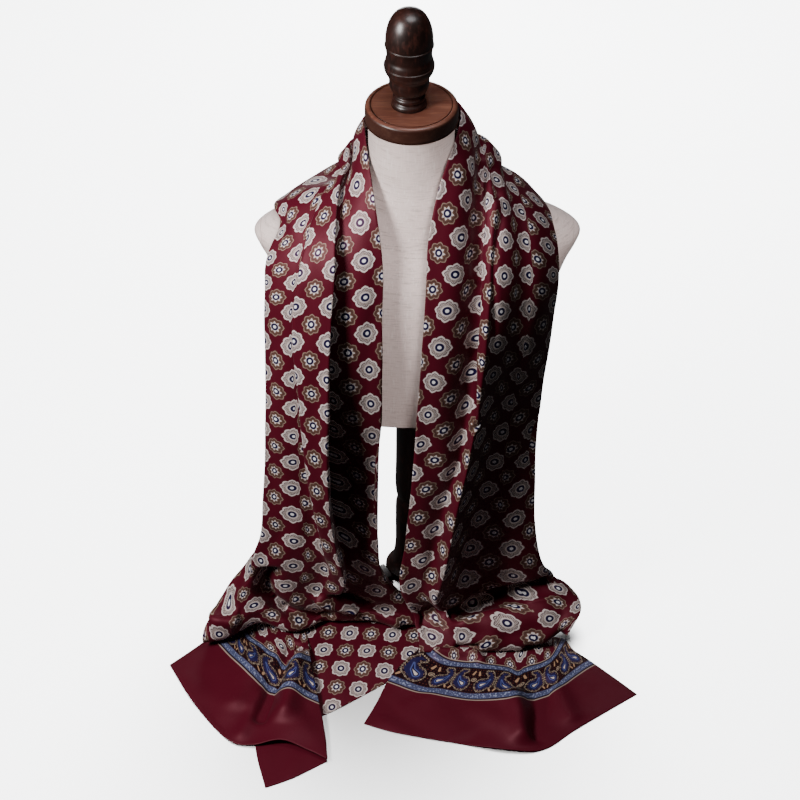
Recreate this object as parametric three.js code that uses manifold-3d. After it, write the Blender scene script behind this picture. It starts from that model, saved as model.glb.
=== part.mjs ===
// A silk foulard scarf draped round a tabletop dress form, its two ends lying on the table.
// Millimetres, +Z up, table at z = 0. The form's axis is vertical at (AXIS_X, AXIS_Y); tables below
// give places from that axis: x to the viewer's right, y away from the viewer, z above the table.
import * as THREE from 'three';
import { mergeVertices } from 'three/addons/utils/BufferGeometryUtils.js';
import Module from 'manifold-3d';

const AXIS_X = 10;            // puts the whole part's box centre on the origin
const AXIS_Y = 118.5;
const CAP_TOP = 700;          // top face of the neck cap
const CAP_RADIUS = 50;
const CAP_THICKNESS = 19;
const FINIAL_HEIGHT = 116;
const FINIAL_SHIFT = -2.5;    // the finial's dowel sits a little left of the cap's centre
const BUST_BOTTOM = 313;
const BUST_SHIFT = 7;         // the shoulders sit this far to the right of the neck axis
const POLE_RADIUS = 17;
const FOOT_RADIUS = 30;       // turned foot of the pole
const TOE_LENGTH = 120;       // reach of each of the three flat toes
const TOE_WIDTH = 26;
const TOE_HEIGHT = 10;
const CLOTH = 1.4;            // thickness of the cloth wall
const GAP = 0.3;              // clearance between neighbouring pieces
const LATHE_SIDES = 24;

const COLOURS = {
  silk: 0x6e1420, linen: 0xc9c0b6, wood: 0x3a1d14, woodTop: 0x6a3d2c,
};

// ---------------------------------------------------------------- tables and curves

/** Rows of a plain table: the first line names the columns, each further line is one row. */
function table(text) {
  const lines = text.trim().split('\n').map((line) => line.trim().split(/\s+/));
  const names = lines.shift();
  return lines.map((cells) => Object.fromEntries(cells.map((cell, i) => [names[i], Number(cell)])));
}

/** One column of a table at the fractional row s, through a Catmull-Rom curve. */
function along(rows, name, s) {
  const last = rows.length - 1;
  const i = Math.min(Math.floor(s), last - 1);
  const f = s - i;
  const at = (k) => rows[Math.min(Math.max(k, 0), last)][name];
  const [a, b, c, d] = [at(i - 1), at(i), at(i + 1), at(i + 2)];
  const bend = (2 * a - 5 * b + 4 * c - d) * f * f + (3 * b - a - 3 * c + d) * f * f * f;
  return b + 0.5 * ((c - a) * f + bend);
}

/** The fractional row of a table at which its column 'at' has the value wanted. */
function rowAt(rows, wanted) {
  let i = 0;
  while (i < rows.length - 2 && rows[i + 1].at <= wanted) i += 1;
  return i + (wanted - rows[i].at) / (rows[i + 1].at - rows[i].at);
}

// ---------------------------------------------------------------- meshes

/** A closed mesh from points and triangles, turned so that its faces look outwards. */
function solid(name, colour, points, triangles, finish = {}) {
  let volume = 0;
  for (const [a, b, c] of triangles) {
    volume += points[a].dot(new THREE.Vector3().crossVectors(points[b], points[c]));
  }
  const faces = volume < 0 ? triangles.map(([a, b, c]) => [a, c, b]) : triangles;
  const geometry = new THREE.BufferGeometry();
  geometry.setAttribute('position',
    new THREE.Float32BufferAttribute(points.flatMap((p) => [p.x, p.y, p.z]), 3));
  geometry.setIndex(faces.flat());
  return piece(name, colour, geometry, finish);
}

function piece(name, colour, geometry, finish = {}) {
  geometry.computeVertexNormals();
  const material = new THREE.MeshStandardMaterial({
    color: colour, roughness: finish.roughness ?? 0.6, metalness: 0,
  });
  const mesh = new THREE.Mesh(geometry, material);
  mesh.name = name;
  return mesh;
}

/** Triangles of a strip of quads between index rows a and b. */
function strip(a, b, closed = false) {
  const quads = [];
  const count = closed ? a.length : a.length - 1;
  for (let i = 0; i < count; i += 1) {
    const j = (i + 1) % a.length;
    quads.push([a[i], a[j], b[j]], [a[i], b[j], b[i]]);
  }
  return quads;
}

/**
 * A wall of cloth: the middle surface grid[row][column] moved half a thickness to each side. The
 * rows just before and just after row i, which give the cloth's slope there, are around(i).
 */
function clothWall(name, grid, around) {
  const rows = grid.length;
  const cols = grid[0].length;
  const normals = grid.map((row, i) => {
    const [before, after] = around(i);
    return row.map((_, j) => {
      const across = row[Math.min(j + 1, cols - 1)].clone().sub(row[Math.max(j - 1, 0)]);
      return after[j].clone().sub(before[j]).cross(across).normalize();
    });
  });
  const points = [];
  for (const side of [1, -1]) {
    for (let i = 0; i < rows; i += 1) {
      for (let j = 0; j < cols; j += 1) {
        const point = grid[i][j].clone().addScaledVector(normals[i][j], side * CLOTH / 2);
        point.z = Math.max(point.z, 0);
        points.push(point);
      }
    }
  }
  const front = (i, j) => i * cols + j;
  const back = (i, j) => rows * cols + i * cols + j;
  const triangles = [];
  const span = [...Array(cols).keys()];
  for (let i = 0; i < rows - 1; i += 1) {
    triangles.push(...strip(span.map((j) => front(i, j)), span.map((j) => front(i + 1, j))));
    triangles.push(...strip(span.map((j) => back(i + 1, j)), span.map((j) => back(i, j))));
  }
  const rim = (cells, flip) => strip(cells.map(([i, j]) => back(i, j)), cells.map(([i, j]) => front(i, j)))
    .map(([a, b, c]) => (flip ? [a, c, b] : [a, b, c]));
  const fall = [...Array(rows).keys()];
  triangles.push(
    ...rim(span.map((j) => [0, j]), false),
    ...rim(span.map((j) => [rows - 1, j]), true),
    ...rim(fall.map((i) => [i, 0]), true),
    ...rim(fall.map((i) => [i, cols - 1]), false),
  );
  return solid(name, COLOURS.silk, points, triangles, { roughness: 0.4 });
}

/** A turned piece: a profile of [radius, height] points from axis to axis, round the form's axis. */
function turned(name, colour, profile, base, roughness) {
  const outline = profile.map(([r, z]) => new THREE.Vector2(r, z));
  const geometry = new THREE.LatheGeometry(outline, LATHE_SIDES);
  geometry.rotateX(Math.PI / 2);
  const mesh = piece(name, colour, closed(geometry), { roughness });
  mesh.position.z = base;
  return mesh;
}

/** The same geometry with its seam and poles merged, so that it is one closed body. */
function closed(geometry) {
  geometry.deleteAttribute('normal');
  geometry.deleteAttribute('uv');
  const merged = mergeVertices(geometry, 1e-3);
  const index = merged.index.array;
  const kept = [];
  for (let k = 0; k < index.length; k += 3) {
    const [a, b, c] = [index[k], index[k + 1], index[k + 2]];
    if (a !== b && b !== c && c !== a) kept.push(a, b, c);
  }
  merged.setIndex(kept);
  return merged;
}

// ---------------------------------------------------------------- the dress form

// The bust as level rings: half width, reach to the front and to the back, and the power of the
// superellipse that the ring follows (2 is an ellipse, more is squarer).
const BUST_RINGS = table(`
   z    half  front  back  power
  313   138    86     80    2.4
  345   140    89     82    2.4
  385   144    91     85    2.4
  430   150    92     88    2.4
  475   158    90     88    2.3
  505   168    86     84    2.1
  522   177    81     80    1.95
  535   181    76     76    1.85
  545   172    71     72    1.8
  554   152    67     68    1.75
  564   128    64     64    1.7
  576   106    61     61    1.65
  590    86    58     58    1.65
  603    70    55     55    1.75
  618    55    51     51    1.9
  640    48    48     48    2
  660    46.5  46.5   46.5  2
  680.7  47.5  47.5   47.5  2
`);
const BUST_SIDES = 36;

/** The bust: its rings joined one to the next, closed flat at both ends. */
function bustBody() {
  const points = [];
  const triangles = [];
  const rings = [];
  const steps = BUST_RINGS.length - 1;
  for (let s = 0; s <= steps; s += 1) {
    const row = BUST_RINGS[s];
    const shift = BUST_SHIFT * THREE.MathUtils.clamp((640 - row.z) / 50, 0, 1);
    const ring = [];
    for (let k = 0; k < BUST_SIDES; k += 1) {
      const angle = (2 * Math.PI * k) / BUST_SIDES;
      const swell = (value) => Math.sign(value) * Math.abs(value) ** (2 / row.power);
      const reach = Math.sin(angle) < 0 ? row.front : row.back;
      ring.push(points.length);
      points.push(new THREE.Vector3(
        shift + row.half * swell(Math.cos(angle)), reach * swell(Math.sin(angle)), row.z));
    }
    rings.push(ring);
  }
  for (let s = 0; s < steps; s += 1) triangles.push(...strip(rings[s], rings[s + 1], true));
  for (const [ring, flip] of [[rings[0], true], [rings[steps], false]]) {
    const centre = points.length;
    points.push(new THREE.Vector3(0, 0, points[ring[0]].z));
    ring.forEach((a, k) => {
      const b = ring[(k + 1) % ring.length];
      triangles.push(flip ? [centre, b, a] : [centre, a, b]);
    });
  }
  return solid('bust', COLOURS.linen, points, triangles, { roughness: 0.9 });
}

const ARMHOLE_TILT = THREE.MathUtils.degToRad(9);    // the armhole's plane leans in downwards
const ARMHOLE_REACH = 171;                            // from the shoulders' centre, at its height
const ARMHOLE_HEIGHT = 528;

/** Cuts the bust at the two armholes: the body, and a cover plate on each side. */
async function bustPieces() {
  const wasm = await Module();
  wasm.setup();
  const toManifold = (geometry) => new wasm.Manifold(new wasm.Mesh({
    numProp: 3,
    vertProperties: new Float32Array(geometry.attributes.position.array),
    triVerts: new Uint32Array(geometry.index.array),
  }));
  const toPiece = (name, manifold) => {
    const { vertProperties, triVerts } = manifold.getMesh();
    const geometry = new THREE.BufferGeometry();
    geometry.setAttribute('position', new THREE.BufferAttribute(vertProperties, 3));
    geometry.setIndex(new THREE.BufferAttribute(triVerts, 1));
    return piece(name, COLOURS.linen, geometry, { roughness: 0.9 });
  };
  const outside = (side, clearance) => {
    const size = 400;
    const slab = closed(new THREE.BoxGeometry(size, size, size));
    slab.translate(size / 2 + clearance, 0, 0);
    slab.rotateY(ARMHOLE_TILT);
    slab.translate(ARMHOLE_REACH, 0, ARMHOLE_HEIGHT);
    if (side < 0) slab.rotateZ(Math.PI);
    slab.translate(BUST_SHIFT, 0, 0);
    return toManifold(slab);
  };
  const full = toManifold(bustBody().geometry);
  let body = full;
  const plates = [];
  for (const [side, name] of [[-1, 'armhole_plate_left'], [1, 'armhole_plate_right']]) {
    body = body.subtract(outside(side, 0));
    plates.push(toPiece(name, full.intersect(outside(side, GAP))));
  }
  return [toPiece('bust', body), ...plates];
}

/** The turned disc that closes the neck, with a groove inside its rim. */
function neckCap() {
  const r = CAP_RADIUS;
  const t = CAP_THICKNESS;
  return turned('neck_cap', COLOURS.woodTop, [
    [0, 0], [r - 3, 0], [r - 1, 0.8], [r, 3], [r, t - 4.5], [r - 0.8, t - 1.8], [r - 2.8, t - 0.3],
    [r - 4.8, t], [r - 5.6, t - 1.6], [r - 6.8, t - 1.6], [r - 7.6, t - 0.5], [0, t - 0.5],
  ], CAP_TOP - t, 0.35);
}

/** The turned finial on the cap: two beads, a waist, a groove and a tall dome. */
function finial() {
  const h = FINIAL_HEIGHT;
  const mesh = turned('finial', COLOURS.wood, [
    [0, 0], [18, 0], [18.8, 1.6], [18.6, 4], [16.6, 6.5], [16.6, 7.6], [17.6, 9.8], [17.2, 12],
    [15.4, 14], [16.2, 16], [19.2, 19.5], [21.2, 25], [21.6, 30], [21.4, 34], [22.4, 37],
    [25.4, 42], [26.8, 47], [26.6, 51], [25.2, 57], [24.1, 60], [24.8, 62], [25.7, 67],
    [25.8, 76], [24.8, 88], [21.8, 100], [15.8, h - 6], [8, h - 1.4], [0, h],
  ], CAP_TOP - 0.5 + GAP, 0.25);
  mesh.position.x = FINIAL_SHIFT;
  return mesh;
}

/** The turned pole from the flared foot to the bust, with one groove and a collar at the top. */
function pole() {
  const r = POLE_RADIUS;
  const f = FOOT_RADIUS;
  const top = BUST_BOTTOM - GAP;
  return turned('pole', COLOURS.wood, [
    [0, 0], [f, 0], [f, 8], [f - 3, 11], [f - 7.5, 17], [r + 3.2, 27], [r + 1, 45], [r + 0.7, 60],
    [r + 0.5, 112], [r - 0.6, 120], [r - 2, 126], [r - 0.4, 132], [r + 1, 150], [r + 0.4, 180],
    [r, 230], [r, top - 10], [r + 16, top - 6], [r + 18, top - 3], [r + 18, top], [0, top],
  ], 0, 0.3);
}

/** One flat toe of the stand: a bar with a round tip, pointing outwards from the pole's foot. */
function toe(name, direction) {
  const half = TOE_WIDTH / 2;
  const tip = half * 0.8;
  const start = FOOT_RADIUS + GAP;
  const outline = new THREE.Shape();
  outline.moveTo(start, -half);
  outline.lineTo(TOE_LENGTH - tip, -tip);
  outline.absarc(TOE_LENGTH - tip, 0, tip, -Math.PI / 2, Math.PI / 2, false);
  outline.lineTo(start, half);
  const bar = new THREE.ExtrudeGeometry(outline, {
    depth: TOE_HEIGHT, bevelEnabled: false, curveSegments: 8,
  });
  const mesh = piece(name, COLOURS.wood, closed(bar), { roughness: 0.3 });
  mesh.rotation.z = THREE.MathUtils.degToRad(direction);
  return mesh;
}

// ---------------------------------------------------------------- the scarf on the form

// One rib of cloth in each row, from the scarf's left landing up over the left shoulder, round the
// neck and down to its right landing. (ix, iy, iz) is the rib's inner end, (ox, oy, oz) its outer.
const RIBS = table(`
  at    ix    iy    iz     ox    oy    oz
   0    -6   -84   4.2   -218   -88   4.2
   1    -3   -96   4.2   -228  -112   4.2
   2     1  -107   5.8   -238  -131   5.8
   3     3  -112  13     -243  -141  16
   4     1  -107  25     -242  -132  32
   5    -8  -101  42     -236  -118  48
   6   -24  -104  68     -222  -108  72
   7   -33  -111 106     -200  -106 106
   8   -36  -113 155     -181  -104 155
   9   -36  -112 220     -175  -100 220
  10   -34  -112 290     -171   -94 290
  11   -31  -112 360     -168   -86 355
  12   -30  -111 430     -166   -76 412
  13   -29  -105 490     -165   -66 462
  14   -28   -95 536     -164   -58 496
  15   -30   -82 572     -164   -48 520
  16   -36   -61 607     -163   -33 539
  17   -43   -34 636     -162   -15 551
  18   -50     4 664     -160     4 557
  19   -50    27 667     -143    44 546
  20   -37    47 671     -100    74 540
  21   -15    58 674      -40    88 540
  22    15    58 677       40    88 541
  23    38    47 680       98    74 543
  24    52    26 681      141    38 552
  25    50     2 668      154    -3 562
  26    37   -34 650      158   -22 556
  27    25   -58 620      162   -40 545
  28    16   -80 576      164   -54 522
  29    14   -94 536      164   -60 496
  30    12  -106 490      161   -64 459
  31     8  -113 430      157   -67 407
  32     5  -114 360      152   -70 350
  33     3  -114 290      149   -76 285
  34    -2  -115 225      150   -80 225
  35    -8  -116 160      152   -85 160
  36   -13  -118 105      160   -88 105
  37   -10  -119  70      174   -86  72
  38     2  -121  44      190   -86  50
  39    11  -127  26      200   -96  40
  40    14  -136  16      206  -120  34
  41    15  -146   7.5    204  -140  20
  42    14  -150   2.8    196  -148   6
  43    14  -142   2.4    190  -140   2.4
  44    14  -128   2.4    186  -126   2.4
`);

// The folds across a rib, in order from its inner end: a short return behind the inner edge, the
// inner face, a valley, the sharp ridge, the overlapping fold, the tuck under it, the outer face
// and the return behind the outer edge. Each has its share of the rib's length (…T) and how far it
// stands off the straight rib (…B).
const FOLDS = table(`
  at  backInT backInB faceT faceB valleyT valleyB ridgeT ridgeB foldT foldB tuckT tuckB midT midB backOutT backOutB
   0   -0.03    0     0.15    0    0.28     0     0.36     0    0.45    0    0.54    0   0.76    0    1.04     0
   2   -0.03    0     0.15    0    0.28     0     0.36     0    0.45    0    0.54    0   0.76    0    1.04     0
   3   -0.03    0     0.15    2    0.28     2     0.36     3    0.45    3    0.54    1   0.76    2    1.04     0
   4   -0.03   -3     0.15   -5    0.27    -4     0.35     2    0.43    4    0.53    0   0.74    4    1.04    -5
   5   -0.02   -7     0.15    6    0.27     4     0.34     9    0.42    8    0.51    3   0.72    5    1.04   -13
   6    0.00  -10     0.14    1    0.27    -3     0.32    17    0.40   12    0.46    4   0.70    6    1.02   -25
   7    0.03   -12   0.14    -4   0.28   -10   0.26    24   0.36    17   0.42     5   0.70     8   0.92   -32
   8    0.06   -12   0.18    -9   0.38   -22   0.32    31   0.44    24   0.47     6   0.70     9   0.78   -26
   9    0.08   -10   0.22   -12   0.46   -26  0.375    36   0.54    27   0.54     5   0.76     9   0.66   -13
  10    0.10    -8   0.24    -5   0.49   -12    0.4    38   0.62    28   0.57     8   0.80     9   0.62    -6
  11    0.12    -6   0.24     5   0.50     5  0.395    36   0.66    28   0.59    12   0.82    10   0.62     1
  13    0.13    -5   0.23    10   0.51    14   0.35    31   0.70    28   0.61    15   0.84    13   0.64     5
  15    0.12    -5   0.20     8   0.47    10   0.31    25   0.62    24   0.54    13   0.78    10   0.72     3
  17    0.09   -10   0.16    -3   0.36   -13    0.3     0   0.49     1   0.44    -9   0.68     3   0.78    -3
  18    0.08  -14     0.16   -8    0.33   -23     0.315  -11    0.43  -10    0.40  -21   0.64   -9    0.82   -11
  19    0.09  -12     0.18   -5    0.37   -18     0.35    -6    0.50   -5    0.46  -15   0.72   -5    0.82    -9
  20    0.10   -9     0.20   -3    0.41   -12     0.39    -1    0.58    0    0.53  -10   0.77    0    0.82    -7
  22    0.10   -6     0.22    1    0.44    -8     0.41     3    0.62    2    0.56   -9   0.78    0    0.82    -7
  24    0.10   -8     0.20   -1    0.38   -13     0.37    -1    0.53    0    0.58  -11   0.78    1    0.82    -6
  25    0.10   -9     0.16   -3    0.30   -13     0.37    -4    0.50   -5    0.57  -12   0.77   -3    0.84    -8
  26    0.11   -6     0.17    1    0.32    -4     0.41     8    0.52    5    0.60   -1   0.78    6    0.80     0
  28    0.12    -5   0.18     7   0.35    11   0.42    27   0.58    25   0.66    17   0.81    19   0.74    11
  30    0.13    -5   0.18     8   0.35    14   0.41    32   0.57    26   0.66    19   0.82    18   0.72    10
  32    0.14    -6   0.20     8   0.39    15    0.4    31   0.56    14   0.66     8   0.82     8   0.70    -2
  33    0.14    -7   0.18     7   0.36    16  0.365    31   0.53     8   0.65     3   0.80     5   0.68    -6
  34    0.13    -9   0.15     5   0.29    15  0.315    33   0.50     2   0.64    -1   0.80     4   0.68   -12
  35    0.10   -12   0.13     4   0.25    13   0.29    34   0.48    -3   0.62    -4   0.80     3   0.75   -19
  36    0.06   -12   0.12     3    0.2    10  0.255    29   0.45    -6   0.60    -6   0.80     3   0.85   -23
  37    0.02   -11   0.10     2   0.15     6    0.2    21   0.42    -6   0.60    -4   0.80     3   0.97   -19
  38   -0.01    -8   0.10     1   0.14     4   0.18    13   0.42    -5   0.60    -1   0.82     4   1.03   -10
  39   -0.02    -3   0.10     1   0.14     3   0.18     8   0.42     3   0.60     6   0.82     5   1.04    -3
  40   -0.02    0     0.10    1    0.18     3     0.27     7    0.42   12    0.60   15   0.82    6    1.03    -1
  41   -0.02    0     0.10    0    0.18     1     0.27     4    0.42    9    0.60   10   0.82    3    1.03     0
  42   -0.02    0     0.10    0    0.18     0     0.27     0    0.42    0    0.60    0   0.82    0    1.03     0
  44   -0.02    0     0.10    0    0.18     0     0.27     0    0.42    0    0.60    0   0.82    0    1.03     0
`);
const FOLD_NAMES = ['backIn', 'inner', 'face', 'valley', 'ridge', 'fold', 'tuck', 'mid', 'outer', 'backOut'];
const SHARP = 5;              // length each side of a sharp fold that is rounded off
const SOFT_FOLDS = new Set(['face', 'mid', 'tuck']);

/** Centre of the straight rib at station s. */
function ribMiddle(s) {
  const get = (a, b) => (along(RIBS, a, s) + along(RIBS, b, s)) / 2;
  return new THREE.Vector3(get('ix', 'ox'), get('iy', 'oy'), get('iz', 'oz'));
}

/** The cloth's section at station s: fold corners in the rib's plane, each rounded by a curve. */
function ribSection(s) {
  const inner = new THREE.Vector3(along(RIBS, 'ix', s), along(RIBS, 'iy', s), along(RIBS, 'iz', s));
  const outer = new THREE.Vector3(along(RIBS, 'ox', s), along(RIBS, 'oy', s), along(RIBS, 'oz', s));
  const step = 0.05;
  const before = ribMiddle(Math.max(s - step, 0));
  const after = ribMiddle(Math.min(s + step, RIBS.length - 1));
  const rib = outer.clone().sub(inner);
  const normal = after.sub(before).cross(rib).normalize();
  const row = rowAt(FOLDS, s);
  const share = (name) => {
    if (name === 'inner') return 0;
    return name === 'outer' ? 1 : along(FOLDS, `${name}T`, row);
  };
  const stand = (name) => (name === 'inner' || name === 'outer' ? 0 : along(FOLDS, `${name}B`, row));
  const corners = FOLD_NAMES.map((name) => inner.clone()
    .addScaledVector(rib, share(name)).addScaledVector(normal, stand(name)));
  return roundedLine(corners, FOLD_NAMES.map((name) => (SOFT_FOLDS.has(name) ? Infinity : SHARP)));
}

/** A bent line with each corner replaced by three points of a quadratic curve. */
function roundedLine(corners, reach) {
  const line = [corners[0]];
  for (let i = 1; i < corners.length - 1; i += 1) {
    const side = (other) => {
      const way = other.clone().sub(corners[i]);
      return corners[i].clone().addScaledVector(way, Math.min(0.42, reach[i] / way.length()));
    };
    const start = side(corners[i - 1]);
    const end = side(corners[i + 1]);
    const middle = start.clone().add(end).multiplyScalar(0.25).addScaledVector(corners[i], 0.5);
    line.push(start, middle, end);
  }
  line.push(corners[corners.length - 1]);
  return line;
}

/** A stretch of the scarf from station a to station b. */
function stretch(name, a, b, steps) {
  const near = 0.1;
  const station = (i) => a + ((b - a) * i) / steps;
  const grid = [];
  for (let i = 0; i <= steps; i += 1) grid.push(ribSection(station(i)));
  return clothWall(name, grid, (i) => [
    ribSection(Math.max(station(i) - near, 0)),
    ribSection(Math.min(station(i) + near, RIBS.length - 1)),
  ]);
}

// ---------------------------------------------------------------- the scarf on the table

// The parts that lie on the table. Each line across the cloth is a row of [x, y, z] points.
const LYING = {
  // The hem end on the left, from under the roll to the hem: selvedge, flat, flat, crease, arch, fold.
  scarf_left_end: [
    [[-230, -102, 0.7], [-206, -98, 0.7], [-190, -98, 0.7], [-172, -100, 0.7], [-150, -104, 2.4], [-130, -108, 2.4]],
    [[-243, -120, 0.7], [-214, -122, 0.7], [-195, -124, 0.7], [-174, -128, 1], [-150, -130, 3.9], [-124, -134, 3.9]],
    [[-248, -126, 0.7], [-215, -142, 2.4], [-192, -156, 7], [-172, -166, 7], [-146, -174, 17], [-120, -170, 14]],
    [[-252, -130, 0.7], [-222, -160, 2.4], [-192, -190, 8], [-170, -206, 6], [-146, -214, 15], [-110, -226, 10]],
    [[-270, -148, 0.7], [-240, -196, 2], [-207, -238, 5], [-176, -252, 3], [-146, -255, 14], [-102, -268, 8]],
    [[-291, -168, 0.7], [-256, -232, 0.7], [-214, -286, 0.7], [-184, -296, 2.6], [-146, -295, 11], [-96, -319, 6]],
  ],
  // The hem's far corner, folded back under the arch: lying flat, from its fold to its own hem.
  scarf_left_tail: [
    [[-176, -262, 0.7], [-140, -258, 0.7], [-102, -264, 0.7]],
    [[-181, -298, 0.7], [-140, -300, 0.7], [-98, -292, 0.7]],
    [[-167, -357, 0.7], [-136, -343, 0.7], [-97, -318, 0.7]],
  ],
  // The printed stretch between the rolls and the left end, running to its selvedge in front.
  scarf_left_flat: [
    [[-140, -96, 0.7], [-80, -92, 0.7], [-6, -94, 0.7]],
    [[-140, -134, 0.7], [-88, -128, 0.9], [0, -122, 2]],
    [[-146, -186, 0.7], [-92, -168, 4], [-4, -152, 2.5]],
    [[-152, -226, 0.7], [-100, -206, 2.5], [-19, -177, 1.5]],
    [[-120, -240, 0.7], [-101, -247, 0.7], [-31, -199, 0.7]],
  ],
  // The hem end on the right, from under the bulge: selvedge, flat, flat, rise, crease, flat, selvedge.
  scarf_right_end: [
    [[12, -116, 0.7], [46, -120, 0.7], [88, -120, 0.7], [122, -120, 0.7], [146, -120, 0.7], [168, -120, 0.7], [190, -126, 0.7]],
    [[12, -140, 0.7], [44, -152, 0.7], [86, -156, 0.7], [121, -158, 0.7], [147, -158, 0.7], [172, -150, 0.7], [198, -142, 0.7]],
    [[-4, -160, 0.7], [34, -178, 3], [80, -184, 4], [118, -188, 5], [148, -186, 2], [174, -172, 3], [206, -150, 0.7]],
    [[-25, -191, 0.7], [14, -208, 3], [66, -220, 5], [108, -230, 10], [150, -222, 2], [180, -201, 3], [219, -162, 0.7]],
    [[-40, -228, 0.7], [-4, -244, 2], [62, -256, 2], [114, -266, 9], [153, -258, 1.5], [190, -232, 2], [245, -188, 0.7]],
    [[-55, -261, 0.7], [-14, -276, 0.7], [58, -292, 0.7], [118, -304, 5], [157, -300, 0.7], [199, -267, 0.7], [271, -215, 0.7]],
  ],
};
const FLAT_STEPS = 2;          // wall rows and columns between neighbouring points of a lying part

/** A Catmull-Rom curve through a list of points, at the fractional place s. */
function through(points, s) {
  const last = points.length - 1;
  const i = Math.min(Math.floor(s), last - 1);
  const at = (k) => points[Math.min(Math.max(k, 0), last)];
  const place = (axis) => along([at(i - 1), at(i), at(i + 1), at(i + 2)], axis, 1 + s - i);
  return new THREE.Vector3(place('x'), place('y'), Math.max(place('z'), CLOTH / 2));
}

/** A lying part: a smooth sheet through its rows of points. */
function lying(name) {
  const rows = LYING[name].map((row) => row.map(([x, y, z]) => new THREE.Vector3(x, y, z)));
  const across = (rows[0].length - 1) * FLAT_STEPS;
  const down = (rows.length - 1) * FLAT_STEPS;
  const grid = [];
  for (let i = 0; i <= down; i += 1) {
    const line = [];
    for (let j = 0; j <= across; j += 1) {
      const column = rows.map((row) => through(row, j / FLAT_STEPS));
      line.push(through(column, i / FLAT_STEPS));
    }
    grid.push(line);
  }
  return clothWall(name, grid, (i) => [grid[Math.max(i - 1, 0)], grid[Math.min(i + 1, down)]]);
}

// ---------------------------------------------------------------- the whole part

const SEAM = 0.006;           // half the gap between two stretches, in stations
const NECK_SEAM = 0.01;       // the same at the shoulders, where the cloth turns sharply

const form = new THREE.Group();
form.add(...await bustPieces(), neckCap(), finial(), pole());
[['toe_back', 90], ['toe_left', 210], ['toe_right', 330]].forEach(([name, way]) => form.add(toe(name, way)));

const scarf = new THREE.Group();
scarf.add(
  stretch('scarf_left_roll', 0, 7 - SEAM, 14),
  stretch('scarf_left_hang', 7 + SEAM, 18 - NECK_SEAM, 16),
  stretch('scarf_neck', 18 + NECK_SEAM, 25 - NECK_SEAM, 15),
  stretch('scarf_right_hang', 25 + NECK_SEAM, 36 - SEAM, 16),
  stretch('scarf_right_roll', 36 + SEAM, 44, 14),
  ...Object.keys(LYING).map((name) => lying(name)),
);

const foulard = new THREE.Group();
foulard.add(form, scarf);
foulard.position.set(AXIS_X, AXIS_Y, 0);
foulard.updateMatrixWorld(true);

export default foulard;
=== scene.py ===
"""A printed silk foulard draped on a tabletop dress form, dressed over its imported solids.

Metres, +Z up, table at z = 0. Tables give millimetres from the form's axis, as the solids' tables do:
x to the viewer's right, y away from the viewer, z above the table.
"""
import math
from functools import partial

import bmesh
import bpy
import numpy as np
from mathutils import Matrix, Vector


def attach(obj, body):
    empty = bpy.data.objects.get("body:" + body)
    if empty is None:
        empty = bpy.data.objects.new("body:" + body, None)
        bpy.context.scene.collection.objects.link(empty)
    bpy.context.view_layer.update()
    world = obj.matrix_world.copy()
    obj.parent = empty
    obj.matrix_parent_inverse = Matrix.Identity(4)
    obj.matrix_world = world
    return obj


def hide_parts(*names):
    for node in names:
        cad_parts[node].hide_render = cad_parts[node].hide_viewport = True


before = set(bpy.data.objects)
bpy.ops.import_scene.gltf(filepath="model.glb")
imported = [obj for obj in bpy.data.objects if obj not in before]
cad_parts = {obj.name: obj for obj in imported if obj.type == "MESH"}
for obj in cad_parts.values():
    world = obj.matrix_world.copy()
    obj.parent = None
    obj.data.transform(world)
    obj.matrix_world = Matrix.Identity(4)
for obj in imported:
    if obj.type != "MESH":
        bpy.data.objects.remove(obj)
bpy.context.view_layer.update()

AXIS = np.array([10.0, 118.5, 0.0])      # the form's axis in the part's frame, mm
CLOTH = 0.0008                           # thickness that the shown silk has, m
REPEAT = 0.04                            # the print repeats after this much cloth, m


# ---------------------------------------------------------------- camera

PITCH = 41.3                             # how far the camera looks down, degrees


def set_camera():
    """The camera looks along +Y, pitched down, from 1.9 m in front and 2.06 m up."""
    camera = bpy.data.objects.new("camera", bpy.data.cameras.new("camera"))
    bpy.context.scene.collection.objects.link(camera)
    camera.data.lens = 102.6
    camera.data.sensor_width = 36
    camera.data.dof.use_dof = False
    camera.data.clip_end = 50
    camera.location = (-0.00223, -1.9119, 2.0639)
    camera.rotation_euler = (math.radians(90 - PITCH), 0, 0)
    bpy.context.scene.camera = camera


set_camera()


# ---------------------------------------------------------------- tables and curves

def table(text):
    """A plain table as a dict of arrays: the first line names the columns."""
    lines = [line.split() for line in text.strip().splitlines()]
    cells = np.array([[float(cell) for cell in line] for line in lines[1:]])
    return {name: cells[:, k] for k, name in enumerate(lines[0])}


def smooth_rows(values, place):
    """Catmull-Rom through the rows of an array, at fractional row numbers."""
    values = np.asarray(values, float)
    last = len(values) - 1
    place = np.asarray(place, float)
    i = np.clip(np.floor(place).astype(int), 0, last - 1)
    f = place - i
    a, b, c, d = (values[np.clip(i + k, 0, last)] for k in (-1, 0, 1, 2))
    f = f.reshape(f.shape + (1,) * (a.ndim - f.ndim))
    bend = (2 * a - 5 * b + 4 * c - d) * f ** 2 + (3 * b - a - 3 * c + d) * f ** 3
    return b + 0.5 * ((c - a) * f + bend)


def column(rows, name, station):
    """One column of a table at stations given by its column 'at'."""
    place = np.interp(station, rows["at"], np.arange(len(rows["at"])))
    return smooth_rows(rows[name], place)


def unit(vectors):
    return vectors / np.maximum(np.linalg.norm(vectors, axis=-1, keepdims=True), 1e-12)


# ---------------------------------------------------------------- the scarf on the form

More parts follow.
